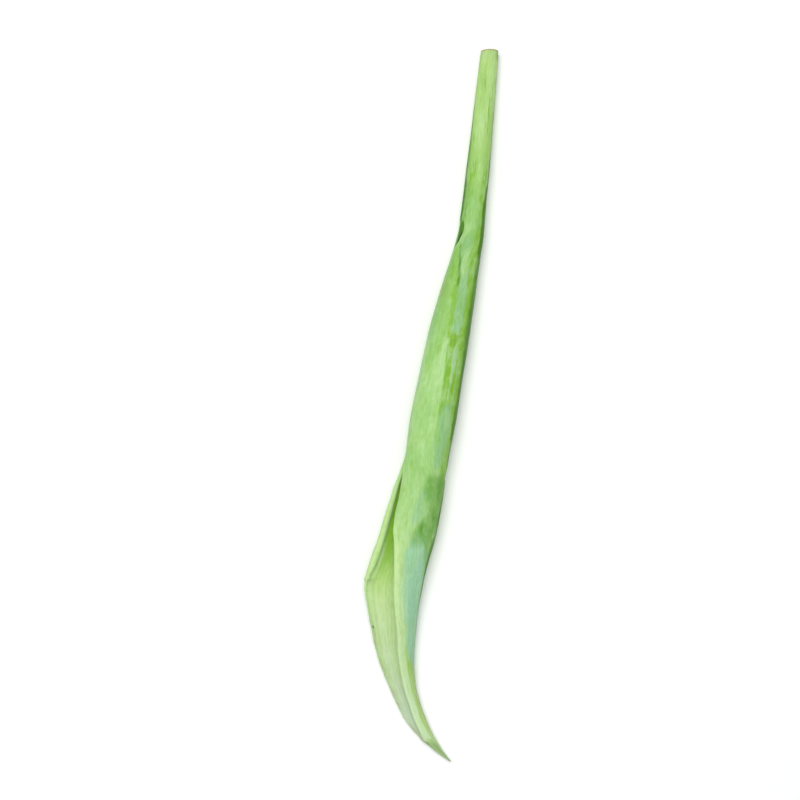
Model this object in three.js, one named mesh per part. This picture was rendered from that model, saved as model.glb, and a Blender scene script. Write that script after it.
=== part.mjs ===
// A cut leaf stalk of giant taro, laid on its side: a solid round stem at one end that opens
// into a hollow sheath, and ends in a long, obliquely torn tail.
// Millimetres, +Z up. The stalk runs along Y, with its thin cut end at +Y and its tail at -Y.
// The origin is the middle of the foot of its bounding box.

import * as THREE from 'three';
import { LoftGeometry } from 'three/addons/geometries/LoftGeometry.js';

// ---------------------------------------------------------------- driving dimensions

const CUT_END = 359;              // where the knife cut the stem, mm from the origin
const TAIL_TIP = - 358;           // the last point of the torn tail

const SLIT_START = 184;           // above this the stem is solid all through
const SLIT_FULL = 138;            // below this the sheath has its whole hollow

const OUTER_STEPS = 22;           // facets round the outside, from lip to lip
const INNER_STEPS = 12;           // facets round the inside, or over the closed side of the stem
const LIP_STEPS = 2;              // facets round each lip
const RING_SPACING = 12;          // length of one band of facets
const TAIL_RING_SPACING = 8;      // the same where the tail narrows
const TAIL_START = - 250;

const THINNEST_CORE = 0.2;        // hollow half-width kept, as a share of the smaller half-size
const LIP_EASING = THREE.MathUtils.degToRad( 55 );  // how far the lip's thickness fades round

// Each course is a list of [ place along Y, value ] pairs, joined by a smooth curve.

// The two sides of the outline, as places along X. The stalk bows in the plane that it lies in,
// and the left side has a corner where the sheath was torn off at a slant.
const LEFT_SIDE = [
	[ 359, 50 ], [ 308, 43.5 ], [ 244, 35.5 ], [ 203, 30.5 ], [ 172, 26 ], [ 161, 23.5 ], [ 140, 17.5 ],
	[ 119, 10.5 ], [ 99, 4.5 ], [ 68, - 4 ], [ 17, - 15.5 ], [ - 23, - 23.5 ], [ - 57, - 28 ],
	[ - 67, - 30.9 ], [ - 77, - 34.2 ], [ - 90, - 39.4 ], [ - 102, - 43.1 ], [ - 112, - 46.2 ],
	[ - 126, - 50.6 ], [ - 141, - 55.3 ], [ - 161, - 62 ], [ - 181, - 67.5 ],
	[ - 187, - 68 ], [ - 200, - 66.5 ], [ - 225, - 61.5 ], [ - 247, - 57 ], [ - 264, - 52 ],
	[ - 279, - 46 ], [ - 300, - 36.5 ], [ - 317, - 28 ], [ - 330, - 17.5 ], [ - 338, - 10 ],
	[ - 347, 1 ], [ - 358, 15.2 ],
];
const RIGHT_SIDE = [
	[ 359, 68 ], [ 308, 64 ], [ 244, 59 ], [ 203, 55 ], [ 161, 51 ], [ 140, 47.5 ], [ 119, 44.5 ],
	[ 99, 42 ], [ 68, 37.5 ], [ 17, 29 ], [ - 23, 23 ], [ - 57, 16.5 ], [ - 77, 13 ], [ - 102, 9.5 ],
	[ - 141, 1.5 ], [ - 161, - 4.5 ], [ - 181, - 9.5 ], [ - 220, - 16 ], [ - 259, - 19.2 ],
	[ - 279, - 18.2 ], [ - 300, - 13.5 ], [ - 317, - 7.2 ], [ - 330, - 1.5 ], [ - 338, 3.2 ],
	[ - 347, 8.8 ], [ - 358, 17.6 ],
];

// Full height of the outside along Z, and how far the underside is above the ground.
// Below zero it is pressed flat by its own weight.
const HEIGHT = [
	[ 359, 17.6 ], [ 246, 22.5 ], [ 163, 26 ], [ 121, 30 ], [ 70, 36 ], [ - 21, 39 ],
	[ - 100, 38 ], [ - 160, 36 ], [ - 218, 29 ], [ - 257, 22 ], [ - 301, 13 ],
	[ - 337, 7.4 ], [ - 342, 5.6 ], [ - 358, 2.4 ],
];
const LIFT = [
	[ 359, 0 ], [ 300, 1 ], [ 220, 2 ], [ 120, 1 ], [ 20, - 0.8 ], [ - 230, - 0.8 ],
	[ - 300, 1 ], [ - 358, 3 ],
];

// Angles of the sheath's two lips, in degrees round the section from +X towards +Z.
// The upper lip climbs from the side to the top as the sheath unrolls towards its tail.
const UPPER_LIP_ANGLE = [
	[ 184, 134 ], [ 177, 129 ], [ 169, 123 ], [ 161, 132 ], [ 153, 142 ], [ 145, 160 ], [ 138, 167 ],
	[ 100, 168 ], [ - 40, 168 ],
	[ - 57, 162 ], [ - 68, 152 ], [ - 78, 142.5 ], [ - 86, 136 ], [ - 93, 132 ], [ - 102, 128.5 ],
	[ - 112, 127 ], [ - 122, 124 ], [ - 133, 119.5 ], [ - 141, 112.5 ], [ - 161, 96 ],
	[ - 180, 86 ], [ - 212, 79 ], [ - 240, 72 ], [ - 273, 71 ], [ - 298, 74 ], [ - 322, 84 ],
	[ - 332, 97 ], [ - 339, 120 ], [ - 345, 138 ], [ - 358, 150 ],
];
const LOWER_LIP_ANGLE = [
	[ 184, 196 ], [ 150, 198 ], [ - 40, 196 ], [ - 100, 187 ], [ - 179, 188 ],
	[ - 194, 198 ], [ - 257, 205 ], [ - 301, 208 ], [ - 358, 215 ],
];

// Thickness of the sheath's back wall and of its lips.
const BACK_THICKNESS = [
	[ 184, 24 ], [ 140, 23 ], [ 100, 21 ], [ 60, 19 ], [ - 21, 16 ], [ - 100, 13 ], [ - 140, 12.5 ],
	[ - 179, 12 ], [ - 218, 11 ], [ - 257, 9 ], [ - 301, 6 ], [ - 336, 3.6 ], [ - 358, 1.4 ],
];
const UPPER_LIP_THICKNESS = [
	[ 184, 3 ], [ - 57, 3 ], [ - 120, 3.8 ], [ - 218, 3.8 ], [ - 301, 3.2 ], [ - 336, 2.8 ], [ - 340, 1.6 ],
	[ - 358, 1 ],
];
const LOWER_LIP_THICKNESS = [
	[ 184, 3 ], [ - 56, 3 ], [ - 84, 4.4 ], [ - 97, 5.4 ], [ - 115, 6.2 ], [ - 130, 7.2 ], [ - 150, 7.8 ],
	[ - 165, 7.2 ], [ - 173, 5.8 ], [ - 179, 4.2 ], [ - 185, 2.6 ], [ - 200, 2.2 ], [ - 301, 2 ],
	[ - 358, 1 ],
];

const STALK = new THREE.MeshStandardMaterial( {
	name: 'stalk_skin', color: 0x9cc974, roughness: 0.48, metalness: 0, flatShading: false,
} );

// ---------------------------------------------------------------- smooth courses

/** Slope at each pair that keeps the curve from overshooting its values. */
function easySlopes( pairs ) {

	const chords = pairs.slice( 1 ).map( ( [ y, value ], i ) => ( value - pairs[ i ][ 1 ] ) / ( y - pairs[ i ][ 0 ] ) );

	return pairs.map( ( _, i ) => {

		const before = chords[ Math.max( i - 1, 0 ) ];
		const after = chords[ Math.min( i, chords.length - 1 ) ];
		return before * after <= 0 ? 0 : 2 * before * after / ( before + after );

	} );

}

/** A function of Y that runs smoothly through the pairs, and stays level beyond them. */
function course( listed ) {

	const pairs = [ ...listed ].sort( ( p, q ) => p[ 0 ] - q[ 0 ] );
	const slopes = easySlopes( pairs );

	return ( y ) => {

		const place = THREE.MathUtils.clamp( y, pairs[ 0 ][ 0 ], pairs.at( - 1 )[ 0 ] );
		const next = Math.max( 1, pairs.findIndex( ( pair ) => pair[ 0 ] >= place ) );
		const [ y0, v0 ] = pairs[ next - 1 ];
		const [ y1, v1 ] = pairs[ next ];
		const step = y1 - y0;
		const t = ( place - y0 ) / step;
		const away = ( 2 * t - 3 ) * t * t;
		return v0 * ( 1 + away ) - v1 * away
			+ step * t * ( 1 - t ) * ( slopes[ next - 1 ] * ( 1 - t ) - slopes[ next ] * t );

	};

}

const leftSide = course( LEFT_SIDE );
const rightSide = course( RIGHT_SIDE );
const height = course( HEIGHT );
const lift = course( LIFT );
const upperLipAngle = course( UPPER_LIP_ANGLE );
const lowerLipAngle = course( LOWER_LIP_ANGLE );
const backThickness = course( BACK_THICKNESS );
const upperLipThickness = course( UPPER_LIP_THICKNESS );
const lowerLipThickness = course( LOWER_LIP_THICKNESS );

// ---------------------------------------------------------------- one section

/** Point of the outer ellipse at an angle, about the section's middle. */
function onOutside( size, angle ) {

	return new THREE.Vector2( size.x * Math.cos( angle ), size.y * Math.sin( angle ) );

}

/** Outward direction of the outer ellipse at an angle. */
function outward( size, angle ) {

	return new THREE.Vector2( Math.cos( angle ) / size.x, Math.sin( angle ) / size.y ).normalize();

}

/** The points of a round lip, from its outer edge to its inner edge; sense is +1 or -1. */
function lipPoints( size, angle, thickness, sense ) {

	const out = outward( size, angle );
	const onward = new THREE.Vector2( - out.y, out.x ).multiplyScalar( sense );
	const centre = onOutside( size, angle ).addScaledVector( out, - thickness / 2 );
	const points = [];

	for ( let i = 0; i <= LIP_STEPS; i ++ ) {

		const turn = Math.PI * i / LIP_STEPS;
		points.push( centre.clone()
			.addScaledVector( out, Math.cos( turn ) * thickness / 2 )
			.addScaledVector( onward, Math.sin( turn ) * thickness / 2 ) );

	}

	return points;

}

/** The hollow's wall, as points from the lower lip's inner edge to the upper lip's. */
function hollowPoints( size, centre, hollow, from, to ) {

	const start = from.clone().sub( centre );
	const end = to.clone().sub( centre );
	const startAngle = start.angle();
	let sweep = end.angle() - startAngle;
	if ( sweep < 0 ) sweep += 2 * Math.PI;

	// how far the ellipse reaches at an angle, and how much further or less far the two lips do
	const round = ( angle ) => hollow.x * hollow.y
		/ Math.hypot( hollow.y * Math.cos( angle ), hollow.x * Math.sin( angle ) );
	const atStart = start.length() / round( startAngle ) - 1;
	const atEnd = end.length() / round( startAngle + sweep ) - 1;
	const points = [];

	for ( let i = 1; i < INNER_STEPS; i ++ ) {

		const turned = sweep * i / INNER_STEPS;
		const angle = startAngle + turned;
		const nearStart = 1 - THREE.MathUtils.smoothstep( turned, 0, LIP_EASING );
		const nearEnd = 1 - THREE.MathUtils.smoothstep( sweep - turned, 0, LIP_EASING );
		const reach = round( angle ) * ( 1 + atStart * nearStart + atEnd * nearEnd );
		points.push( new THREE.Vector2( Math.cos( angle ), Math.sin( angle ) ).multiplyScalar( reach ).add( centre ) );

	}

	return points;

}

/** The closed side of the solid stem: the same number of points, over the outside. */
function closedPoints( size, from, to, count ) {

	return Array.from( { length: count }, ( _, i ) => onOutside( size, from + ( to - from ) * i / ( count - 1 ) ) );

}

/** The whole outline of the stalk at one place along Y, as points in space. */
function section( y ) {

	const upper = THREE.MathUtils.degToRad( upperLipAngle( y ) );
	const lower = THREE.MathUtils.degToRad( lowerLipAngle( y ) );
	const open = 1 - THREE.MathUtils.smoothstep( y, SLIT_FULL, SLIT_START );

	// the ellipse is wide enough for the lip that reaches furthest left to lie on the left side
	const reach = THREE.MathUtils.lerp( 1, - Math.min( Math.cos( upper ), Math.cos( lower ) ), open );
	const size = new THREE.Vector2( ( rightSide( y ) - leftSide( y ) ) / ( 1 + reach ), height( y ) / 2 );
	const middle = rightSide( y ) - size.x;
	const lipThickness = ( upperLipThickness( y ) + lowerLipThickness( y ) ) / 2;
	const least = THINNEST_CORE * Math.min( size.x, size.y );

	// the hollow is an ellipse moved towards the opening, so the back wall is the thick one
	const wall = ( backThickness( y ) + lipThickness ) / 2;
	const hollow = new THREE.Vector2( Math.max( size.x - wall, least ), Math.max( size.y - wall, least ) );
	const opening = ( upper + lower ) / 2;
	const shift = ( backThickness( y ) - lipThickness ) / 2;
	const centre = new THREE.Vector2( Math.cos( opening ), Math.sin( opening ) ).multiplyScalar( shift );

	const outside = [];
	for ( let i = 0; i <= OUTER_STEPS; i ++ ) {

		outside.push( onOutside( size, upper - ( upper - lower + 2 * Math.PI ) * i / OUTER_STEPS ) );

	}

	const lowerLip = lipPoints( size, lower, lowerLipThickness( y ), - 1 );
	const upperLip = lipPoints( size, upper, upperLipThickness( y ), 1 ).reverse();
	const inside = [
		...lowerLip.slice( 1 ),
		...hollowPoints( size, centre, hollow, lowerLip.at( - 1 ), upperLip[ 0 ] ),
		...upperLip.slice( 0, - 1 ),
	];
	const closed = closedPoints( size, lower, upper, inside.length + 2 ).slice( 1, - 1 );
	const side = inside.map( ( point, i ) => closed[ i ].clone().lerp( point, open ) );

	const level = lift( y ) + size.y;
	return [ ...outside, ...side ].reverse().map( ( point ) =>
		new THREE.Vector3( middle + point.x, y, Math.max( point.y + level, 0 ) ) );

}

// ---------------------------------------------------------------- the stalk

/** Places along Y of the sections, closer together where the tail narrows. */
function stations() {

	const body = Math.round( ( CUT_END - TAIL_START ) / RING_SPACING );
	const tail = Math.round( ( TAIL_START - TAIL_TIP ) / TAIL_RING_SPACING );
	const places = [];
	for ( let i = 0; i < body; i ++ ) places.push( CUT_END + ( TAIL_START - CUT_END ) * i / body );
	for ( let i = 0; i <= tail; i ++ ) places.push( TAIL_START + ( TAIL_TIP - TAIL_START ) * i / tail );
	return places;

}

function leafStalk() {

	const geometry = new LoftGeometry( stations().map( section ), { capStart: true, capEnd: true } );
	const mesh = new THREE.Mesh( geometry, STALK );
	mesh.name = 'leaf_stalk';
	return mesh;

}

const taroLeafStalk = new THREE.Group();
taroLeafStalk.add( leafStalk() );

export default taroLeafStalk;
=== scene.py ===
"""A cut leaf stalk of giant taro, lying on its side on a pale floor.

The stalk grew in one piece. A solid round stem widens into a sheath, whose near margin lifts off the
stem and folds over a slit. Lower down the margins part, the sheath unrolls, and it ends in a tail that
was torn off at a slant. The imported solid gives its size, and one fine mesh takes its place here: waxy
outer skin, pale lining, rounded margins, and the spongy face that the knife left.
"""
import logging
import math
from dataclasses import dataclass, field
from enum import Enum
from typing import Callable

import bmesh
import bpy
from mathutils import Matrix, Vector, noise


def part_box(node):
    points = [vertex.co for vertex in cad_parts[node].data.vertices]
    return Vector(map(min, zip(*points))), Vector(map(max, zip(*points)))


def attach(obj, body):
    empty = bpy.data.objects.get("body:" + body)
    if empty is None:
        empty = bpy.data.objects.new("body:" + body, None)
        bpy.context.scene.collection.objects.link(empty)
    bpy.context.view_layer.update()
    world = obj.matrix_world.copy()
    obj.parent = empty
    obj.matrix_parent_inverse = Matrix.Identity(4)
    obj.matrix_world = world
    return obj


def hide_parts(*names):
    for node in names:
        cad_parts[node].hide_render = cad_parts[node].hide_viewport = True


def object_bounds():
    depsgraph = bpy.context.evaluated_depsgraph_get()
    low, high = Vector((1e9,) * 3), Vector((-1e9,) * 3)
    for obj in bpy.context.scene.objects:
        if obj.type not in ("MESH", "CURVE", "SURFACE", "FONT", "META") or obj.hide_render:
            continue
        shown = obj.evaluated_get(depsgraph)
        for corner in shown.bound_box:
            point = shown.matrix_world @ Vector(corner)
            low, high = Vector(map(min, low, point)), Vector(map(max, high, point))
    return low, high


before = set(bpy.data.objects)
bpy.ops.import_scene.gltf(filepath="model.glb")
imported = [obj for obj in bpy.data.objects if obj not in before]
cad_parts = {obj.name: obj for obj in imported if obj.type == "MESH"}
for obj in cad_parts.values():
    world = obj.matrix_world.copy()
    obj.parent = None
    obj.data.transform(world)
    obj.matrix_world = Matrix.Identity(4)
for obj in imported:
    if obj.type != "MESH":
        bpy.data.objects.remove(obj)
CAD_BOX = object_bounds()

log = logging.getLogger("taro_leaf_stalk")

MM = 0.001
STALK_NODE = "leaf_stalk"
MODEL_LENGTH_MM = 717.0  # length that the courses below are written for
TIP_MM = -358.0  # place of the tail's tip in them

Pairs = tuple[tuple[float, float], ...]
Socket = bpy.types.NodeSocket
Vert = bmesh.types.BMVert
Span = tuple[float, float]  # where something begins and where it is whole, unless a comment differs
Colours = tuple[tuple[float, str], ...]  # places along the stalk, with the colour at each


# ---- small helpers


def linear(hex_colour: str) -> tuple[float, float, float, float]:
    """Turn an sRGB hex colour to the linear colour that shaders take.

    Args:
        hex_colour: Six hex digits with a leading hash.

    Returns:
        Linear red, green, blue and full alpha.
    """
    parts = [int(hex_colour[i:i + 2], 16) / 255 for i in (1, 3, 5)]
    red, green, blue = (c / 12.92 if c <= 0.04045 else ((c + 0.055) / 1.055) ** 2.4 for c in parts)
    return red, green, blue, 1.0


def smoothstep(value: float, low: float, high: float) -> float:
    """Ease from 0 at low to 1 at high, where low may be the larger of the two.

    Args:
        value: The number to place between the limits.
        low: Where the result leaves 0.
        high: Where the result reaches 1.

    Returns:
        A number from 0 to 1.
    """
    t = min(max((value - low) / (high - low), 0.0), 1.0)
    return t * t * (3 - 2 * t)


def mix(low: float, high: float, share: float) -> float:
    """Return the number that lies a share of the way from low to high."""
    return low + (high - low) * share


def bell(value: float, middle: float, spread: float) -> float:
    """Return 1 at the middle, falling smoothly to nothing about two spreads away."""
    return math.exp(-((value - middle) / spread) ** 2)


def centre(verts: list[Vert]) -> Vector:
    """Return the middle of some vertices."""
    return sum((vert.co for vert in verts), Vector()) / len(verts)


def empty_material(name: str) -> bpy.types.Material:
    """Start a material without any nodes.

    Args:
        name: The material's name.

    Returns:
        The new material.
    """
    material = bpy.data.materials.new(name)
    material.use_nodes = True
    material.node_tree.nodes.clear()
    return material


def add_node(tree: bpy.types.NodeTree, kind: str, inputs: dict | None = None,
             **settings: object) -> bpy.types.Node:
    """Add a shader node with its settings, input values and links.

    Args:
        tree: The material's node tree.
        kind: The node's type name.
        inputs: Input name or index to a plain value, or to the output socket that feeds it.
        **settings: Properties of the node itself.

    Returns:
        The new node.
    """
    node = tree.nodes.new(kind)
    for name, value in settings.items():
        setattr(node, name, value)
    for key, value in (inputs or {}).items():
        if isinstance(value, Socket):
            tree.links.new(value, node.inputs[key])
        else:
            node.inputs[key].default_value = value
    return node


@dataclass(frozen=True)
class Course:
    """One size as it changes along the stalk: a smooth curve through a few pairs.

    The curve never overshoots its values, and it stays level beyond its ends.

    Attributes:
        pairs: Places along the stalk with the value at each, in any order.
    """

    pairs: Pairs
    slopes: tuple[float, ...] = field(init=False, repr=False)

    def __post_init__(self) -> None:
        """Sort the pairs and work out an easy slope at each."""
        pairs = tuple(sorted(self.pairs))
        chords = [(v1 - v0) / (y1 - y0) for (y0, v0), (y1, v1) in zip(pairs, pairs[1:])]
        slopes = []
        for i in range(len(pairs)):
            before, after = chords[max(i - 1, 0)], chords[min(i, len(chords) - 1)]
            slopes.append(0.0 if before * after <= 0 else 2 * before * after / (before + after))
        object.__setattr__(self, "pairs", pairs)
        object.__setattr__(self, "slopes", tuple(slopes))

    def at(self, place: float) -> float:
        """Read the curve.

        Args:
            place: Where along the stalk, in the pairs' own unit.

        Returns:
            The value there.
        """
        place = min(max(place, self.pairs[0][0]), self.pairs[-1][0])
        i = next(k for k in range(1, len(self.pairs)) if self.pairs[k][0] >= place)
        (y0, v0), (y1, v1) = self.pairs[i - 1], self.pairs[i]
        step = y1 - y0
        t = (place - y0) / step
        bend = step * t * (1 - t) * (self.slopes[i - 1] * (1 - t) - self.slopes[i] * t)
        return mix(v0, v1, (3 - 2 * t) * t * t) + bend


@dataclass(frozen=True)
class Stroke:
    """A soft streak on the skin between two edges that follow the stalk, such as a band of bloom.

    Attributes:
        edges: Places along the stalk in mm, from the cut end on, with the angles of both edges there.
        soft: How far the streak fades beyond its edges, in degrees.
        fade: How far it fades beyond its ends, in mm.
        strength: Its weight in the middle.
    """

    edges: tuple[tuple[float, float, float], ...]
    soft: float
    fade: float = 12.0
    strength: float = 1.0
    middle: Course = field(init=False, repr=False)
    half: Course = field(init=False, repr=False)

    def __post_init__(self) -> None:
        """Keep the streak's middle and half width as courses."""
        object.__setattr__(self, "middle", Course(tuple((y, (a + b) / 2) for y, a, b in self.edges)))
        object.__setattr__(self, "half", Course(tuple((y, abs(a - b) / 2) for y, a, b in self.edges)))

    def across(self, y: float) -> tuple[float, float, float]:
        """Return the streak's middle, half width and weight at a place along the stalk."""
        start, end = self.edges[0][0], self.edges[-1][0]
        ends = smoothstep(y, start + self.fade, start) * smoothstep(y, end - self.fade, end)
        return self.middle.at(y), self.half.at(y), self.strength * ends


@dataclass(frozen=True)
class StrokeSet:
    """Streaks that share one finish."""

    strokes: tuple[Stroke, ...]

    def row(self, y: float) -> Callable[[float], float]:
        """Prepare one place along the stalk.

        Args:
            y: The place in mm.

        Returns:
            A function from an angle in degrees to the joint weight there, at most 1.
        """
        cuts = [(*stroke.across(y), stroke.soft) for stroke in self.strokes]
        cuts = [cut for cut in cuts if cut[2] > 0]

        def weight(angle: float) -> float:
            """Add up the streaks.

            Args:
                angle: Angle round the section in degrees.

            Returns:
                Their joint weight there.
            """
            total = 0.0
            for middle, half, strength, soft in cuts:
                off = abs((angle - middle + 180) % 360 - 180)
                total += strength * smoothstep(off, half + soft, half)
            return min(total, 1.0)

        return weight


# ---- the stalk's form


class Part(Enum):
    """Which part of the section's outline a point lies on."""

    OUTSIDE = "outside"
    LOWER_LIP = "lower lip"
    INSIDE = "inside"
    UPPER_LIP = "upper lip"


@dataclass
class SkinPoint:
    """One point of a section's outline, in mm.

    Attributes:
        place: Across and up, in the row's X and Z.
        part: The part of the outline that it lies on.
        angle: Its angle round the section, in degrees.
        upper_margin: 1 on the upper lip, fading to 0 a little way off it.
        lower_margin: The same for the lower lip.
        inside: 1 on the lining, 0 on the outer skin.
        sunk: How far it lies under the closed outline, in mm.
    """

    place: Vector
    part: Part
    angle: float
    upper_margin: float
    lower_margin: float
    inside: float
    sunk: float = 0.0


@dataclass
class StalkForm:
    """The shape of the stalk, as sizes in mm and angles in degrees along its length.

    Places along the stalk run from the cut end at +Y to the tail's tip at -Y. Angles run round the
    section from its right side over the top, so the slit lies between the upper and the lower lip.
    """

    cut_end: float = 359.0
    tail_tip: float = TIP_MM
    slit: Span = (184.0, 142.0)  # where it starts, and where its lips stand fully apart

    outside_columns: int = 118
    inside_columns: int = 54
    lip_columns: int = 9
    margin_share: float = 0.035  # of the outside, on each side of the slit
    margin_columns: int = 3  # of the lining, beyond each lip

    left_side: Course = Course((
        (359, 50), (308, 43.5), (244, 35.5), (203, 30.5), (172, 26), (161, 23.5), (140, 17.5), (119, 10.5),
        (99, 4.5), (68, -4), (17, -15.5), (-23, -23.5), (-57, -28), (-67, -30.9), (-77, -34.2),
        (-90, -39.4), (-102, -43.1), (-112, -46.2), (-126, -50.6), (-141, -55.3), (-161, -62),
        (-181, -67.5), (-187, -68), (-200, -66.5), (-225, -61.5), (-247, -57), (-264, -52), (-279, -46),
        (-300, -36.5), (-317, -28), (-330, -17.5), (-338, -10), (-341, -6.2), (-347, 1.0), (-358, 16.3),
    ))
    right_side: Course = Course((
        (359, 68), (308, 64), (244, 59), (203, 55), (161, 51), (140, 47.5), (119, 44.5), (99, 42),
        (68, 37.5), (17, 29), (-23, 23), (-57, 16.5), (-77, 13), (-102, 9.5), (-141, 1.5), (-161, -4.5),
        (-181, -9.5), (-220, -16), (-259, -19.2), (-279, -18.2), (-300, -13.5), (-317, -7.2), (-330, -1.5),
        (-338, 3.2), (-347, 8.8), (-358, 17.4),
    ))
    height: Course = Course((
        (359, 17.6), (246, 22.5), (163, 26), (121, 30), (70, 36), (-21, 39), (-100, 38), (-160, 36),
        (-218, 29), (-257, 22), (-301, 13), (-337, 7.4), (-342, 5.6), (-358, 1.4),
    ))
    lift: Course = Course((
        (359, 0), (300, 1), (220, 2), (120, 1), (20, -0.8), (-230, -0.8), (-300, 1), (-358, 3.6),
    ))
    upper_lip_angle: Course = Course((
        (184, 134), (177, 129), (169, 123), (165, 126), (161, 132), (157, 136), (153, 142), (150, 149),
        (145, 160), (138, 167), (100, 168), (-40, 168), (-57, 162), (-68, 152), (-78, 142.5), (-86, 136),
        (-93, 132), (-102, 128.5), (-112, 127), (-122, 124), (-133, 119.5), (-141, 112.5), (-161, 96),
        (-180, 86), (-212, 79), (-240, 72), (-273, 71), (-298, 74), (-322, 84), (-332, 97), (-339, 120),
        (-345, 138), (-358, 150),
    ))
    lower_lip_angle: Course = Course((
        (184, 196), (150, 198), (-40, 196), (-100, 187), (-179, 188), (-194, 198), (-257, 205), (-301, 208),
        (-358, 215),
    ))
    back_thickness: Course = Course((
        (184, 24), (140, 23), (100, 21), (60, 19), (-21, 16), (-100, 13), (-140, 12.5), (-179, 12),
        (-218, 11), (-257, 9), (-301, 6), (-336, 3.6), (-358, 1),
    ))
    upper_lip_thickness: Course = Course((
        (184, 1.6), (150, 2), (60, 2.6), (-57, 3), (-120, 3.8), (-218, 3.8), (-301, 3.2), (-330, 2.8),
        (-336, 3.2), (-340, 1.2), (-358, 0.6),
    ))
    lower_lip_thickness: Course = Course((
        (184, 2.4), (-56, 3), (-84, 4.4), (-97, 5.4), (-115, 6.2), (-130, 7.2), (-150, 7.8), (-165, 7.2),
        (-173, 5.8), (-179, 4.2), (-185, 2.6), (-200, 2), (-301, 1.8), (-358, 0.6),
    ))
    crease_angle: Course = Course((
        (160, 130), (153, 124), (145, 116), (139, 109), (133, 104.5), (127, 99), (121, 95.5), (115, 93.5),
        (106, 92),
    ))
    lip_easing: float = 55.0
    thinnest_core: float = 0.2
    recess_depth: float = 2.6  # of the closed stem, just above the slit
    recess_start: Span = (183.0, 174.0)
    recess_end: Span = (142.0, 156.0)
    recess_slope: Span = (0.0, 0.72)  # as shares of the way from the lower lip to the upper
    recess_brink: Span = (1.0, 0.9)

    @property
    def columns(self) -> int:
        """Number of points round every section."""
        return self.outside_columns + self.inside_columns + 2 * self.lip_columns

    def stations(self) -> list[float]:
        """Place the sections, closest where the shape turns sharply.

        Returns:
            Their places along the stalk, from the cut end to the tip.
        """
        spacing = Course((
            (359, 0.5), (355, 1.6), (330, 2.2), (200, 2.0), (180, 1.2), (90, 1.3), (-30, 1.7), (-57, 1.5),
            (-165, 1.5), (-177, 0.8), (-190, 0.8), (-205, 1.6), (-310, 1.5), (-328, 0.8), (-358, 0.7),
        ))
        places = [self.cut_end]
        while places[-1] > self.tail_tip + spacing.at(self.tail_tip):
            places.append(places[-1] - spacing.at(places[-1]))
        places[-1] = self.tail_tip
        return places

    def outline(self, y: float) -> list[SkinPoint]:
        """Work out the plain section, before any relief.

        Args:
            y: Place along the stalk.

        Returns:
            The outline's points: outside, lower lip, inside, upper lip.
        """
        upper, lower = math.radians(self.upper_lip_angle.at(y)), math.radians(self.lower_lip_angle.at(y))
        opened = smoothstep(y, *self.slit)
        left, right = self.left_side.at(y), self.right_side.at(y)
        reach = mix(1.0, -min(math.cos(upper), math.cos(lower)), opened)
        half = Vector(((right - left) / (1 + reach), self.height.at(y) / 2))
        middle = Vector((right - half.x, self.lift.at(y) + half.y))

        sweep = upper - lower + 2 * math.pi
        count = self.outside_columns
        points = []
        for i in range(count + 1):
            angle = upper - sweep * i / count
            margins = (max(0.0, 1 - k / (count * self.margin_share)) * opened for k in (i, count - i))
            place = middle + self.on_ellipse(half, angle)
            points.append(SkinPoint(place, Part.OUTSIDE, math.degrees(angle), *margins, inside=0.0))

        lower_lip = self.lip(half, lower, self.lower_lip_thickness.at(y), -1)
        upper_lip = self.lip(half, upper, self.upper_lip_thickness.at(y), 1)[::-1]
        hollow = self.hollow(y, half, (upper + lower) / 2, lower_lip[-1], upper_lip[0])
        walls = lower_lip[1:] + hollow + upper_lip[:-1]
        recess = self.recess_depth * smoothstep(y, *self.recess_start) * smoothstep(y, *self.recess_end)
        for i, wall in enumerate(walls):
            share = (i + 1) / (len(walls) + 1)
            angle = mix(lower, upper, share)
            closed = self.on_ellipse(half, angle)
            dent = recess * smoothstep(share, *self.recess_slope) * smoothstep(share, *self.recess_brink)
            place = (closed - closed.normalized() * dent).lerp(wall, opened)
            from_lip = min(i, len(walls) - 1 - i) - self.lip_columns
            margin = min(1.0, max(0.0, 1 - from_lip / self.margin_columns)) * opened
            lower_side = share < 0.5
            part = Part.INSIDE if from_lip >= 0 else Part.LOWER_LIP if lower_side else Part.UPPER_LIP
            points.append(SkinPoint(
                place + middle, part, math.degrees(angle), *((0.0, margin) if lower_side else (margin, 0.0)),
                inside=min(1.0, 1 + from_lip / (self.lip_columns + 1)) * opened,
                sunk=(closed - place).length))
        return points

    @staticmethod
    def on_ellipse(half: Vector, angle: float) -> Vector:
        """Return the point of an ellipse at an angle, from its half width and half height."""
        return Vector((half.x * math.cos(angle), half.y * math.sin(angle)))

    def lip(self, half: Vector, angle: float, thickness: float, sense: float) -> list[Vector]:
        """Work out one round lip.

        Args:
            half: The outer ellipse's half width and half height.
            angle: Where the lip stands on it, in radians.
            thickness: The lip's thickness in mm.
            sense: 1 where the lip bulges towards larger angles, -1 towards smaller.

        Returns:
            Points from the lip's outer edge to its inner edge.
        """
        out = Vector((math.cos(angle) / half.x, math.sin(angle) / half.y)).normalized()
        onward = Vector((-out.y, out.x)) * sense
        heart = self.on_ellipse(half, angle) - out * thickness / 2
        turns = [math.pi * i / self.lip_columns for i in range(self.lip_columns + 1)]
        return [heart + (out * math.cos(t) + onward * math.sin(t)) * thickness / 2 for t in turns]

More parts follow.
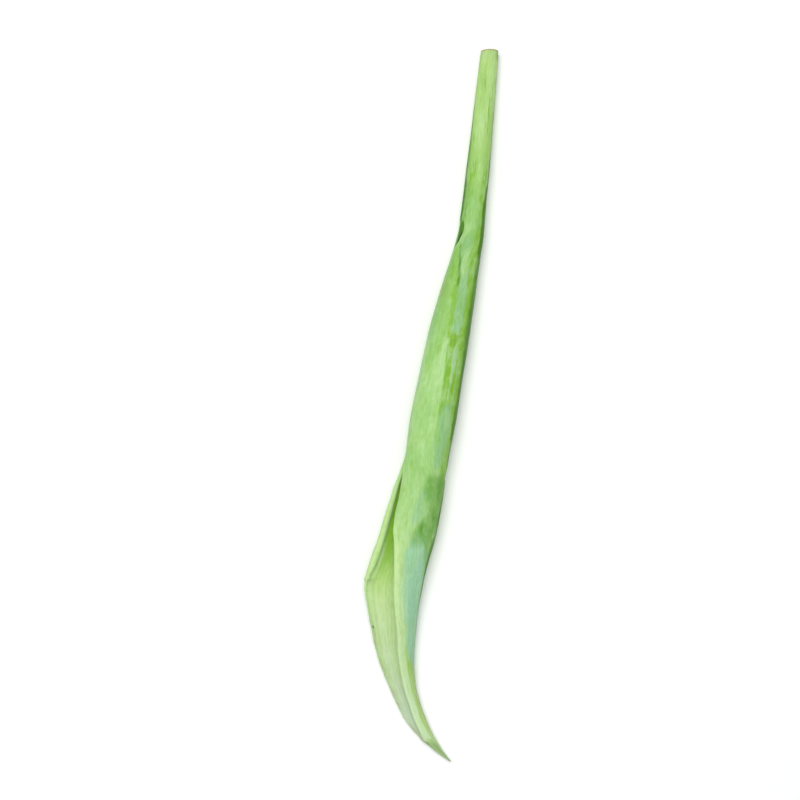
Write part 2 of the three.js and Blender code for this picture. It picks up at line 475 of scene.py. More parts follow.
    def hollow(self, y: float, half: Vector, facing: float, start: Vector, end: Vector) -> list[Vector]:
        """Work out the hollow's wall between the two lips.

        Args:
            y: Place along the stalk.
            half: The outer ellipse's half width and half height.
            facing: Direction of the opening, in radians.
            start: The lower lip's inner edge.
            end: The upper lip's inner edge.

        Returns:
            Points from the lower lip to the upper lip, without those two edges.
        """
        lips = (self.upper_lip_thickness.at(y) + self.lower_lip_thickness.at(y)) / 2
        back = self.back_thickness.at(y)
        least = self.thinnest_core * min(half)
        wide, tall = (max(size - (back + lips) / 2, least) for size in half)
        heart = Vector((math.cos(facing), math.sin(facing))) * (back - lips) / 2
        first, last = start - heart, end - heart
        from_angle = math.atan2(first.y, first.x)
        sweep = (math.atan2(last.y, last.x) - from_angle) % (2 * math.pi)
        easing = math.radians(self.lip_easing)

        def plain(angle: float) -> float:
            """Return the hollow ellipse's own reach at an angle."""
            return wide * tall / math.hypot(tall * math.cos(angle), wide * math.sin(angle))

        at_first, at_last = first.length / plain(from_angle), last.length / plain(from_angle + sweep)
        points = []
        for i in range(1, self.inside_columns):
            turned = sweep * i / self.inside_columns
            angle = from_angle + turned
            near_start, near_end = smoothstep(turned, easing, 0), smoothstep(sweep - turned, easing, 0)
            reach = plain(angle) * (1 + (at_first - 1) * near_start + (at_last - 1) * near_end)
            points.append(heart + Vector((math.cos(angle), math.sin(angle))) * reach)
        return points


# ---- relief and paint


@dataclass
class SkinRelief:
    """How far the skin stands out from the plain section, in mm.

    A fibre place is a point on an even tube round the stalk, so a pattern on it follows the fibres.
    """

    tube_radius: float = 21.0
    calm_length: float = 6.0  # from the cut end, where the knife kept the skin smooth
    slim_from: float = -250.0  # below it the tail is too thin for the full relief
    swell_height: float = 0.5  # slow swells all over
    swell_grain: Span = (17.0, 60.0)  # across and along the fibres
    swell_inside: float = 0.35  # share that the lining has
    rib_height: float = 0.16  # lengthwise ribs
    rib_grain: Span = (2.6, 150.0)
    rib_slim: float = 0.4  # share left at the tip
    crease_depth: float = 0.7  # where the near margin lifts off the stem
    crease_spread: float = 5.0
    crease_start: Span = (160.0, 152.0)
    crease_end: Span = (96.0, 116.0)
    wing_swell: float = 0.8  # of the margin beside that crease
    wing_offset: float = 24.0
    wing_spread: float = 15.0
    wing_start: Span = (172.0, 155.0)
    wing_end: Span = (60.0, 110.0)
    nick_depth: float = 1.6  # one dent in the right side
    nick_place: float = -79.0
    nick_length: float = 3.2
    nick_angle: float = 6.0
    nick_spread: float = 13.0
    wave_height: float = 0.5  # along both margins
    wave_length: float = 26.0
    wave_start: Span = (150.0, 60.0)
    wave_seed: Span = (0.3, 0.7)
    tear_height: float = 0.6  # along the torn edge of the tail
    tear_length: float = 9.0
    tear_start: Span = (-184.0, -190.0)
    tear_seed: Span = (5.1, 2.2)
    fray_share: float = 0.6  # of the tear's height, on a finer scale
    fray_length: float = 2.6
    fray_seed: Span = (9.4, 0.0)
    corner_place: float = -179.5
    corner_height: float = 1.1  # tip of the torn corner
    corner_length: float = 1.8
    roll: Course = Course((  # height of the bead along the tail's upper lip
        (-130, 0), (-175, 0.7), (-300, 1.0), (-334, 1.5), (-338, 1.5), (-340.5, 0), (-358, 0),
    ))
    roll_spread: float = 3.4

    def fibre(self, y: float, share: float) -> Vector:
        """Return the fibre place of a point a share of the way round the outline."""
        turn = 2 * math.pi * share
        return Vector((self.tube_radius * math.cos(turn), self.tube_radius * math.sin(turn), y))

    @staticmethod
    def grain(fibre: Vector, across: float, along: float) -> float:
        """Return smooth noise from -1 to 1 whose grains have the given sizes in mm."""
        return noise.noise(Vector((fibre.x / across, fibre.y / across, fibre.z / along)))

    @staticmethod
    def wobble(y: float, length: float, seed: Span) -> float:
        """Return smooth noise from -1 to 1 along the stalk, with waves of the given length in mm."""
        return noise.noise(Vector((seed[0], y / length, seed[1])))

    def row(self, form: StalkForm, y: float) -> Callable[[SkinPoint, Vector, float], float]:
        """Prepare one place along the stalk.

        Args:
            form: The stalk's form.
            y: The place.

        Returns:
            A function from a point, its fibre place and its distance from the upper lip to the height
            outwards from the plain section there.
        """
        calm = smoothstep(form.cut_end - y, 0, self.calm_length)
        slim = smoothstep(y, form.tail_tip, self.slim_from)
        crease = form.crease_angle.at(y)
        creased = self.crease_depth * smoothstep(y, *self.crease_start) * smoothstep(y, *self.crease_end)
        winged = self.wing_swell * smoothstep(y, *self.wing_start) * smoothstep(y, *self.wing_end)
        nicked = self.nick_depth * bell(y, self.nick_place, self.nick_length)
        corner = self.corner_height * bell(y, self.corner_place, self.corner_length)
        wave = self.wave_height * self.wobble(y, self.wave_length, self.wave_seed)
        wave *= smoothstep(y, *self.wave_start) * slim
        torn = self.wobble(y, self.tear_length, self.tear_seed)
        torn += self.fray_share * self.wobble(y, self.fray_length, self.fray_seed)
        torn *= self.tear_height * smoothstep(y, *self.tear_start)
        roll = self.roll.at(y)

        def height(point: SkinPoint, fibre: Vector, from_lip: float) -> float:
            """Add up the relief.

            Args:
                point: A point of the outline.
                fibre: Its fibre place.
                from_lip: Its distance from the upper lip.

            Returns:
                The height outwards from the plain section.
            """
            swell = self.swell_height * calm * slim * mix(1, self.swell_inside, point.inside)
            total = swell * self.grain(fibre, *self.swell_grain)
            total += self.rib_height * mix(self.rib_slim, 1, slim) * self.grain(fibre, *self.rib_grain)
            total += roll * bell(from_lip, 0, self.roll_spread)
            total += wave * point.upper_margin
            total += (wave + torn + corner) * point.lower_margin
            if point.part is Part.OUTSIDE:
                total -= creased * bell(point.angle, crease, self.crease_spread)
                total += winged * bell(point.angle, crease + self.wing_offset, self.wing_spread)
                total -= nicked * bell(point.angle, self.nick_angle, self.nick_spread)
            return total

        return height


STREAKED = ("bloom", "fresh", "deep", "lush", "dark", "dry", "pale")
FINISHES_AND_PAINTED_LIGHT = ("inside", "margin") + STREAKED


@dataclass
class SkinPaint:
    """Where the skin's finishes, painted shade and painted highlight lie. Each streak lists Y, and the
    angles of its two edges there.

    Bloom is the wax film, fresh is skin that lost it, lush is soft even green, and dry is brown and healed
    skin. The deeper green is partly bare skin's own colour and partly painted shade along both silhouettes,
    in the crease and in the recess above the slit. The near-black one is painted shadow in that recess and
    crease, and also one real speck on the lining. Pale is the paler strip beside the upper lip, partly the
    rib's own colour and partly a painted highlight on the rolled rib.
    """

    bloom: StrokeSet = StrokeSet((
        Stroke(((206, 124, 92), (190, 120, 94)), 22, 12, 0.4),
        Stroke(((158, 110, 80), (140, 106, 78), (118, 92, 72)), 18, 12, 0.58),
        Stroke(((112, 86, 69), (92, 85, 63), (72, 82, 60), (63, 80, 60)), 9, 8, 0.85),
        Stroke(((46, 67, 54), (24, 65, 54), (12, 62, 54)), 9, 11, 0.55),
        Stroke(((-14, 70, 50), (-20, 75, 47), (-27, 74, 48), (-34, 70, 52), (-50, 69, 51), (-68, 64, 47)),
               9, 11, 0.85),
        Stroke(((-12, 54, 48), (-34, 50, 42)), 8, 7, 0.5),
        Stroke(((-98, 82, 70), (-112, 82, 66), (-120, 82, 70)), 11, 9, 0.8),
        Stroke(((-149, 66, 52), (-155, 72, 36), (-162, 73, 18), (-170, 72, 2), (-180, 69, -5),
                (-200, 64, -20), (-214, 59, -25), (-232, 51, -20), (-244, 46, -15), (-252, 38, -15)),
               18, 22, 1.0),
        Stroke(((-138, 67, 62), (-152, 67, 60)), 6, 7, 0.75),
        Stroke(((-143, 55, 50), (-154, 56, 48)), 5, 6, 0.7),
        Stroke(((-145, 79, 76), (-156, 78, 74)), 5, 6, 0.6),
        Stroke(((100, 176, 146), (-30, 176, 150)), 20, 40, 0.4),
        Stroke(((330, -60, -130), (-300, -50, -130)), 40, 60, 0.55),
    ))
    fresh: StrokeSet = StrokeSet((
        Stroke(((300, 66, 52), (272, 64, 50)), 20, 26, 0.35),
        Stroke(((264, 150, 128), (240, 140, 122), (176, 150, 128)), 16, 16, 0.5),
        Stroke(((234, 56, 46), (214, 61, 42), (192, 58, 36)), 16, 18, 0.75),
        Stroke(((190, 48, 10), (165, 60, 8), (150, 66, 8), (120, 62, 8), (95, 54, 4), (40, 50, 4),
                (0, 47, 4), (-60, 40, 2), (-78, 34, 0)), 14, 20, 1.0),
        Stroke(((104, 94, 60), (62, 86, 60)), 14, 16, 0.4),
        Stroke(((108, 101, 92), (84, 94, 86), (62, 88, 79), (46, 85, 76)), 9, 12, 0.8),
        Stroke(((46, 84, 71), (20, 79, 70), (0, 76, 69), (-14, 75, 69)), 6, 10, 1.15),
        Stroke(((6, 78, 50), (-8, 77, 50)), 8, 10, 0.55),
        Stroke(((150, 140, 126), (125, 124, 106), (104, 110, 100)), 14, 14, 0.5),
        Stroke(((340, 124, 104), (322, 118, 104)), 18, 14, 0.4),
        Stroke(((236, 120, 104), (208, 118, 106)), 14, 14, 0.35),
        Stroke(((-264, 50, 40), (-282, 54, 38), (-300, 56, 38), (-326, 58, 40)), 14, 10, 0.5),
        Stroke(((120, -130, -170), (-150, -130, -165)), 30, 60, 0.45),
    ))
    # Deeper green: partly bare skin's own colour, partly painted shade along both silhouettes, in the crease
    # and in the recess above the slit.
    deep: StrokeSet = StrokeSet((
        Stroke(((359, 32, 12), (351, 30, 14)), 14, 8, 0.36),
        Stroke(((345, 10, -14), (240, 16, -16)), 18, 20, 0.45),
        # Partly the flank's own deeper green, partly painted shade along the right silhouette.
        Stroke(((236, 14, -6), (200, 26, 2), (160, 28, -6), (110, 28, 2), (60, 27, -4), (20, 18, 0),
                (-50, 15, -6), (-74, 4, -8), (-130, 12, -2), (-190, 4, -8)), 22, 24, 0.85),
        Stroke(((150, -18, -34), (96, -14, -30), (30, -20, -38), (-40, -16, -30)), 16, 50, 0.4),
        Stroke(((196, 42, 28), (184, 42, 24), (150, 36, 16)), 12, 12, 0.45),
        # These two: painted shade along the stem's left silhouette, down to the recess.
        Stroke(((290, 176, 164), (262, 176, 160), (225, 176, 160), (206, 178, 162), (192, 184, 166)),
               26, 22, 0.75),
        Stroke(((214, 160, 134), (184, 165, 132), (174, 170, 134)), 16, 12, 0.4),
        # Painted shade in the crease where the near margin lifts off the stem.
        Stroke(((153, 126, 122), (145, 118, 114), (139, 111, 107), (133, 106.5, 102.5), (127, 101, 97),
                (121, 97.5, 93.5), (113, 95, 91.5)), 5, 7, 0.52),
        Stroke(((-12, 32, 26), (-38, 30, 22)), 8, 10, 0.4),
        Stroke(((-90, 58, 34), (-104, 46, 30)), 16, 12, 0.36),
        Stroke(((-120, 56, 34), (-132, 64, 40)), 14, 10, 0.34),
        Stroke(((-280, 10, -20), (-340, 14, -20)), 14, 12, 0.5),
        Stroke(((-341, 124, 116), (-354, 124, 118)), 7, 3, 0.3),
        Stroke(((-342, 74, 66), (-356, 80, 60)), 9, 3, 0.34),
    ))
    lush: StrokeSet = StrokeSet((
        Stroke(((-86, 70, 26), (-93, 71, 24), (-101, 63, 24), (-108, 55, 26), (-118, 53, 26),
                (-126, 66, 22), (-135, 72, 30), (-141, 70, 46)), 16, 13, 1.0),
        Stroke(((-143, 42, 20), (-156, 33, 12), (-170, 18, 4)), 14, 10, 0.75),
    ))
    # Painted shadow in the core of the crease. The shade method adds it in the recess, and the speck adds
    # one real near-black mark on the lining.
    dark: StrokeSet = StrokeSet((Stroke(((118, 95.5, 93.5), (111, 94.5, 92.5)), 5, 5, 0.3),))
    dry: StrokeSet = StrokeSet((Stroke(((116, 146, 140), (102, 145, 138)), 6, 6, 0.6),))
    # Paler strips: partly the rib's own colour, partly a painted highlight on the rolled rib beside the
    # upper lip.
    pale: StrokeSet = StrokeSet((
        Stroke(((-18, 58, 50), (-30, 54, 46)), 8, 7, 0.4),
        Stroke(((-120, 128, 118), (-141, 116, 104), (-161, 100, 89), (-180, 90, 79), (-212, 83, 71),
                (-240, 76, 62), (-273, 75, 58), (-298, 78, 58), (-322, 88, 60), (-334, 110, 58)),
               8, 2.5, 1.0),
        Stroke(((-152, 108, 92), (-180, 82, 70), (-212, 75, 62), (-234, 70, 57)), 12, 16, 0.45),
    ))
    # These two: how strongly each lip takes the pale margin colour, partly its own colour and partly a
    # painted highlight on the rolled lip.
    upper_margin: Course = Course((
        (184, 0.3), (166, 0.9), (150, 0.8), (100, 0.75), (-40, 0.8), (-70, 0.5), (-110, 0.4), (-135, 0.8),
        (-160, 1), (-337, 1), (-339, 0), (-358, 0),
    ))
    lower_margin: Course = Course((
        (184, 0.2), (-50, 0.6), (-60, 1), (-172, 1), (-183, 0.8), (-200, 0.5), (-230, 0.15), (-358, 0.1),
    ))
    pale_from: float = -100.0  # below it, the pale strips grow with the course that follows
    pale_by_place: Course = Course(((-110, 0.0), (-150, 0.55), (-180, 0.8), (-260, 1.0), (-337, 1.0)))
    lining_margin: Span = (-130.0, -165.0)
    spot_place: Span = (55.5, 74.0)  # Y and angle
    spot_radius: float = 4.7
    spot_edge: Span = (1.2, 0.7)
    spot_stretch: float = 1.7
    spot_mm_per_degree: float = 0.36
    spot_ragged: float = 1.3
    spot_grain: Span = (4.0, 12.0)  # of its ragged edge, in mm and degrees
    spot_bloom: float = -0.6
    spot_fresh: float = 2.0
    spot_deep: float = 0.3
    speck_place: Span = (-59.6, -226.5)  # X and Y
    speck_radius: float = 1.2
    speck_edge: Span = (1.5, 0.6)
    speck_dark: float = 1.1
    speck_dry: float = 0.6
    rim_width: Span = (2.4, 0.72)  # from the cut end
    shade_strength: float = 0.9
    shade_along: Span = (120.0, 150.0)
    shade_deep: Span = (0.3, 1.8)  # mm under the closed outline
    shade_dark: Span = (1.1, 3.4)
    shade_dark_start: Span = (178.0, 160.0)
    worn_edge: Course = Course(((152, 0.0), (146, 0.7), (130, 0.65), (116, 0.0)))
    torn_edge: Course = Course((
        (-188, 0.0), (-205, 0.3), (-235, 0.5), (-336, 0.5), (-345, 0.62), (-358, 0.7),
    ))

    def spot(self, y: float, angle: float) -> float:
        """Weigh the one round patch where the bloom was rubbed off.

        Args:
            y: Place along the stalk.
            angle: Angle round the section in degrees.

        Returns:
            The patch's weight there.
        """
        along = (y - self.spot_place[0]) / self.spot_stretch
        off = math.hypot(along, (angle - self.spot_place[1]) * self.spot_mm_per_degree)
        grain = Vector((y / self.spot_grain[0], angle / self.spot_grain[1], 1.5))
        off += self.spot_ragged * noise.noise(grain)
        return smoothstep(off / self.spot_radius, *self.spot_edge)

    def speck(self, x: float, y: float) -> float:
        """Return the weight of the one dark speck on the lining."""
        off = math.hypot(x - self.speck_place[0], y - self.speck_place[1])
        return smoothstep(off / self.speck_radius, *self.speck_edge)

    def shade(self, made: dict[str, float], point: SkinPoint, y: float, deep: float) -> None:
        """Paint shade and shadow onto the skin that lies sunk beside the start of the slit.

        Args:
            made: The point's weights so far, which change.
            point: The point.
            y: Its place along the stalk.
            deep: The weight that the deeper green and painted shade streaks have at its angle.
        """
        share = self.shade_strength * smoothstep(y, *self.shade_along)
        share *= 1 - max(point.upper_margin, point.lower_margin)
        made["deep"] = max(deep, share * smoothstep(point.sunk, *self.shade_deep))
        # Near-black painted shadow, where the skin sinks furthest beside the slit's start.
        share *= smoothstep(y, *self.shade_dark_start)
        made["dark"] = share * smoothstep(point.sunk, *self.shade_dark)

    def row(self, form: StalkForm, y: float) -> Callable[[SkinPoint], dict[str, float]]:
        """Prepare one place along the stalk.

        Args:
            form: The stalk's form.
            y: The place.

        Returns:
            A function from a point to the weight of each finish there.
        """
        sets = {name: getattr(self, name).row(y) for name in STREAKED}
        upper, lower = self.upper_margin.at(y), self.lower_margin.at(y)
        pale = self.pale_by_place.at(y) if y < self.pale_from else 1.0
        rim = smoothstep(form.cut_end - y, *self.rim_width)
        torn, worn = self.torn_edge.at(y), self.worn_edge.at(y)

        def weights(point: SkinPoint) -> dict[str, float]:
            """Weigh the finishes.

            Args:
                point: A point of the outline.

            Returns:
                The weight of each finish there.
            """
            outer = 1 - point.inside
            made = {name: weight(point.angle) * outer for name, weight in sets.items()}
            if y > self.shade_along[0]:
                self.shade(made, point, y, sets["deep"](point.angle))
            rubbed = self.spot(y, point.angle) * outer
            made["bloom"] = mix(made["bloom"], self.spot_bloom, rubbed)
            made["fresh"] = max(made["fresh"], self.spot_fresh * rubbed)
            made["deep"] = max(made["deep"], self.spot_deep * rubbed)
            made["pale"] = min(1.0, made["pale"] * pale)
            # Pale lips: their own colour and a painted highlight.
            made["margin"] = max(point.upper_margin * upper, point.lower_margin * lower)
            if point.part is Part.INSIDE:
                made["margin"] *= smoothstep(y, *self.lining_margin)
            speck = self.speck(point.place.x, y) * point.inside
            made["dark"] = max(made["dark"], self.speck_dark * speck)
            edges = max(torn * (2 * point.lower_margin - 1), worn * (2 * point.upper_margin - 1))
            made["dry"] = max(made["dry"], rim, self.speck_dry * speck, edges)
            made["inside"] = point.inside
            return made

        return weights


# ---- the stalk


@dataclass
class CutFace:
    """The flat face that the knife left: a thin rim, and spongy pith that has shrunk a little.

    Attributes:
        rings: Radii of the face's rings, as shares of the stem's.
        sink: Depth of the face in mm, by share of the radius.
        pore_pitch: Distance between air channels in mm.
        pore_depth: Depth of their mouths in mm.
        pore_mouth: Where a mouth's wall begins and ends, in pitches from its middle.
        pith_edge: Where the pores begin inside the rim, as shares of the radius.
        rough_height: Height of the torn cells in mm.
        rough_grains: Grains of that roughness in each mm.
        rough_edge: Where the roughness begins inside the rim, as shares of the radius.
    """

    rings: tuple[float, ...] = (
        0.985, 0.96, 0.925, 0.89, 0.85, 0.81, 0.77, 0.73, 0.69, 0.65, 0.61, 0.57, 0.53, 0.49, 0.45, 0.41,
        0.37, 0.33, 0.29, 0.25, 0.21, 0.17, 0.13, 0.09, 0.05,
    )
    sink: Course = Course((
        (1, 0), (0.985, -0.12), (0.95, 0.0), (0.9, 0.35), (0.7, 0.5), (0.3, 0.35), (0, 0.3),
    ))
    pore_pitch: float = 1.25
    pore_depth: float = 0.55
    pore_mouth: Span = (0.42, 0.12)
    pith_edge: Span = (0.95, 0.88)
    rough_height: float = 0.12
    rough_grains: float = 2.2
    rough_edge: Span = (1.0, 0.9)

    def depth(self, across: float, up: float, share: float) -> float:
        """Return how far the face lies behind the cut plane.

        Args:
            across: Place across the face in mm.
            up: Place up the face in mm.
            share: Distance from the middle, as a share of the radius.

        Returns:
            Depth in mm.
        """
        spot = Vector((across / self.pore_pitch, up / self.pore_pitch, 0.5))
        near = noise.voronoi(spot)[0][0]
        pore = smoothstep(near, *self.pore_mouth) * smoothstep(share, *self.pith_edge)
        rough = noise.noise(Vector((across * self.rough_grains, up * self.rough_grains, 4)))
        rough *= self.rough_height * smoothstep(share, *self.rough_edge)
        return self.sink.at(share) + self.pore_depth * pore + rough


@dataclass
class LeafStalk:
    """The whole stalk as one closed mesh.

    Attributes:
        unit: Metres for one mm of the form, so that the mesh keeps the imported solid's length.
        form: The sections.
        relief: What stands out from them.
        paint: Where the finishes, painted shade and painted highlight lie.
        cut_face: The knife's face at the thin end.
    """

    unit: float
    form: StalkForm = field(default_factory=StalkForm)
    relief: SkinRelief = field(default_factory=SkinRelief)
    paint: SkinPaint = field(default_factory=SkinPaint)
    cut_face: CutFace = field(default_factory=CutFace)

    def build(self) -> bpy.types.Object:
        """Make the stalk's mesh and object.

        Returns:
            The object, at the origin, with its materials.
        """
        maker = bmesh.new()
        layers = {name: maker.verts.layers.float.new(name) for name in FINISHES_AND_PAINTED_LIGHT}
        layers["fibre"] = maker.verts.layers.float_vector.new("fibre")
        rings = self.roll_tube(maker, layers)
        self.close_cut_end(maker, layers, rings[0])
        self.close_tip(maker, rings[-1])
        bmesh.ops.recalc_face_normals(maker, faces=maker.faces)
        for face in maker.faces:
            face.smooth = True
        mesh = bpy.data.meshes.new("taro_leaf_stalk")
        maker.to_mesh(mesh)
        maker.free()
        mesh.materials.append(WaxySkin().build())
        mesh.materials.append(SpongyPith().build())
        stalk = bpy.data.objects.new("taro_leaf_stalk", mesh)
        bpy.context.scene.collection.objects.link(stalk)
        return stalk

    def roll_tube(self, maker: bmesh.types.BMesh, layers: dict) -> list[list[Vert]]:
        """Roll a flat grid into the tube of sections, and weld its seam.

        Args:
            maker: The mesh being made.
            layers: Its vertex layers by name.

        Returns:
            The rings of vertices, from the cut end to the tip.
        """
        stations, columns = self.form.stations(), self.form.columns
        rows = len(stations) - 1
        grid = bmesh.ops.create_grid(maker, x_segments=columns, y_segments=rows, size=0.5)["verts"]
        sheet = [[None] * (columns + 1) for _ in stations]
        for vert in grid:
            sheet[round((vert.co.y + 0.5) * rows)][round((vert.co.x + 0.5) * columns)] = vert
        seam = {}
        for y, line in zip(stations, sheet):
            self.place_ring(y, line[:columns], layers)
            line[columns].co = line[0].co
            seam[line[columns]] = line[0]
        bmesh.ops.weld_verts(maker, targetmap=seam)
        return [line[:columns] for line in sheet]

    def place_ring(self, y: float, ring: list[Vert], layers: dict) -> None:
        """Move one ring of vertices to its section, and note what the finishes need there.

        Args:
            y: Place along the stalk.
            ring: Its vertices in order.
            layers: The mesh's vertex layers by name.
        """
        points = self.form.outline(y)
        height, weights = self.relief.row(self.form, y), self.paint.row(self.form, y)
        lip = points[-self.form.lip_columns // 2].place
        for i, (vert, point) in enumerate(zip(ring, points)):
            before, after = points[i - 1].place, points[(i + 1) % len(points)].place
            out = Vector((before.y - after.y, after.x - before.x)).normalized()
            fibre = self.relief.fibre(y, i / len(points))
            place = point.place + out * height(point, fibre, (point.place - lip).length)
            vert.co = Vector((place.x, y, max(place.y, 0.0))) * self.unit
            vert[layers["fibre"]] = fibre
            for name, weight in weights(point).items():
                vert[layers[name]] = weight

    def close_cut_end(self, maker: bmesh.types.BMesh, layers: dict, rim: list[Vert]) -> None:
        """Draw the rim inwards ring by ring to make the cut face.

        Args:
            maker: The mesh being made.
            layers: Its vertex layers by name.
            rim: The ring of vertices at the cut end.
        """
        heart = centre(rim)
        rim_set = set(rim)
        edges = [edge for edge in maker.edges if edge.is_boundary and all(v in rim_set for v in edge.verts)]
        last = 1.0
        for share in self.cut_face.rings:
            made = bmesh.ops.extrude_edge_only(maker, edges=edges)["geom"]
            ring = [item for item in made if isinstance(item, Vert)]
            edges = [item for item in made if isinstance(item, bmesh.types.BMEdge)]
            for item in made:
                if isinstance(item, bmesh.types.BMFace):
                    item.material_index = 1
            shrink = share / last
            bmesh.ops.scale(maker, verts=ring, vec=(shrink, 1, shrink), space=Matrix.Translation(-heart))
            last = share
            for vert in ring:
                across, up = (vert.co.x - heart.x) / self.unit, (vert.co.z - heart.z) / self.unit
                vert.co.y = heart.y - self.cut_face.depth(across, up, share) * self.unit
        bmesh.ops.pointmerge(maker, verts=ring, merge_co=centre(ring))

    @staticmethod
    def close_tip(maker: bmesh.types.BMesh, ring: list[Vert]) -> None:
        """Draw the last ring together into the tail's point."""
        bmesh.ops.pointmerge(maker, verts=ring, merge_co=centre(ring))


# ---- finishes, with painted shade and painted highlight


class SkinPatterns:
    """The marks on the mesh, patterns along the fibres, and the ways that finishes lie on each other."""

    def __init__(self, tree: bpy.types.NodeTree) -> None:
        """Read the marks that the mesh carries: the weights of the finishes, painted shade and painted
        highlight, and the fibre places in mm.

        Args:
            tree: The material's node tree.
        """
        self.tree = tree
        self.marks = {name: add_node(tree, "ShaderNodeAttribute", attribute_name=name).outputs["Fac"]
                      for name in FINISHES_AND_PAINTED_LIGHT}
        self.fibre = add_node(tree, "ShaderNodeAttribute", attribute_name="fibre").outputs["Vector"]
        self.height = add_node(tree, "ShaderNodeSeparateXYZ", {0: self.fibre}).outputs[2]
        self.along = add_node(tree, "ShaderNodeMapRange", {
            "Value": self.height, "From Min": TIP_MM, "From Max": TIP_MM + MODEL_LENGTH_MM}).outputs[0]

    def grain(self, across: float, along: float, detail: float, seed: float) -> Socket:
        """Add noise that follows the fibres.

        Args:
            across: Size of its grains across the fibres in mm.
            along: Their size along the fibres in mm.
            detail: Octaves of finer noise.
            seed: A shift that sets this noise apart from the others.

        Returns:
            The noise, from 0 to 1.
        """
        placed = add_node(self.tree, "ShaderNodeMapping", {
            "Vector": self.fibre, "Scale": (1 / across, 1 / across, 1 / along),
            "Location": (seed, seed, seed)})
        return add_node(self.tree, "ShaderNodeTexNoise", {
            "Vector": placed.outputs[0], "Scale": 1.0, "Detail": detail, "Roughness": 0.55}).outputs["Fac"]

    def thin(self, share: Socket, pattern: Socket, span: Span, left: Span) -> Socket:
        """Thin a finish unevenly.

        Args:
            share: How much of the finish lies there.
            pattern: The pattern that thins it.
            span: The pattern's span.
            left: What is left of the finish at its two ends.

        Returns:
            The thinned share.
        """
        kept = add_node(self.tree, "ShaderNodeMapRange", dict(enumerate((pattern, *span, *left))),
                        interpolation_type="SMOOTHSTEP").outputs[0]
        return add_node(self.tree, "ShaderNodeMath", {0: share, 1: kept}, operation="MULTIPLY").outputs[0]

    def fray(self, name: str, pattern: Socket, span: Span, reach: Span, edge: Span = (0.1, 1.0),
             most: float = 1.0) -> Socket:
        """Break up the edge of a finish with a pattern.

        Args:
            name: The finish.
            pattern: The pattern that breaks it.
            span: The pattern's span.
            reach: What is added to the finish's weight at its two ends.
            edge: The span of the frayed weight.
            most: The share where the weight tells most.

        Returns:
            How much of the finish lies there.
        """
        added = add_node(self.tree, "ShaderNodeMapRange", dict(enumerate((pattern, *span, *reach))),
                         interpolation_type="SMOOTHSTEP").outputs[0]
        frayed = add_node(self.tree, "ShaderNodeMath", {0: self.marks[name], 1: added},
                          operation="ADD").outputs[0]
        return add_node(self.tree, "ShaderNodeMapRange", dict(enumerate((frayed, *edge, 0.0, most))),
                        interpolation_type="SMOOTHSTEP").outputs[0]

    def cover(self, base: Socket, finish: Socket | str, share: Socket, span: Span | None = None,
              most: float = 1.0) -> Socket:
        """Lay a finish over what is there.

        Args:
            base: The colour so far.
            finish: The finish's sRGB hex colour, or a socket with its colour.
            share: How much of it lies there.
            span: The share's span, or none to take the share as it is.
            most: How much of the base it hides where the share tells most.

        Returns:
            The covered colour.
        """
        if span is not None:
            share = add_node(self.tree, "ShaderNodeMapRange", dict(enumerate((share, *span, 0.0, most))),
                             interpolation_type="SMOOTHSTEP").outputs[0]
        finish = linear(finish) if isinstance(finish, str) else finish
        return add_node(self.tree, "ShaderNodeMix", {0: share, 6: base, 7: finish},
                        data_type="RGBA").outputs[2]

    def colour_along(self, stops: Colours) -> Socket:
        """Add a colour that changes along the stalk.

        Args:
            stops: Places along the stalk in mm with an sRGB hex colour at each.

        Returns:
            The colour.
        """
        node = add_node(self.tree, "ShaderNodeValToRGB", {"Fac": self.along})
        elements = node.color_ramp.elements
        for i, (y, colour) in enumerate(stops):
            element = elements[i] if i < 2 else elements.new(1.0)
            element.position = (y - TIP_MM) / MODEL_LENGTH_MM
            element.color = linear(colour)
        return node.outputs["Color"]


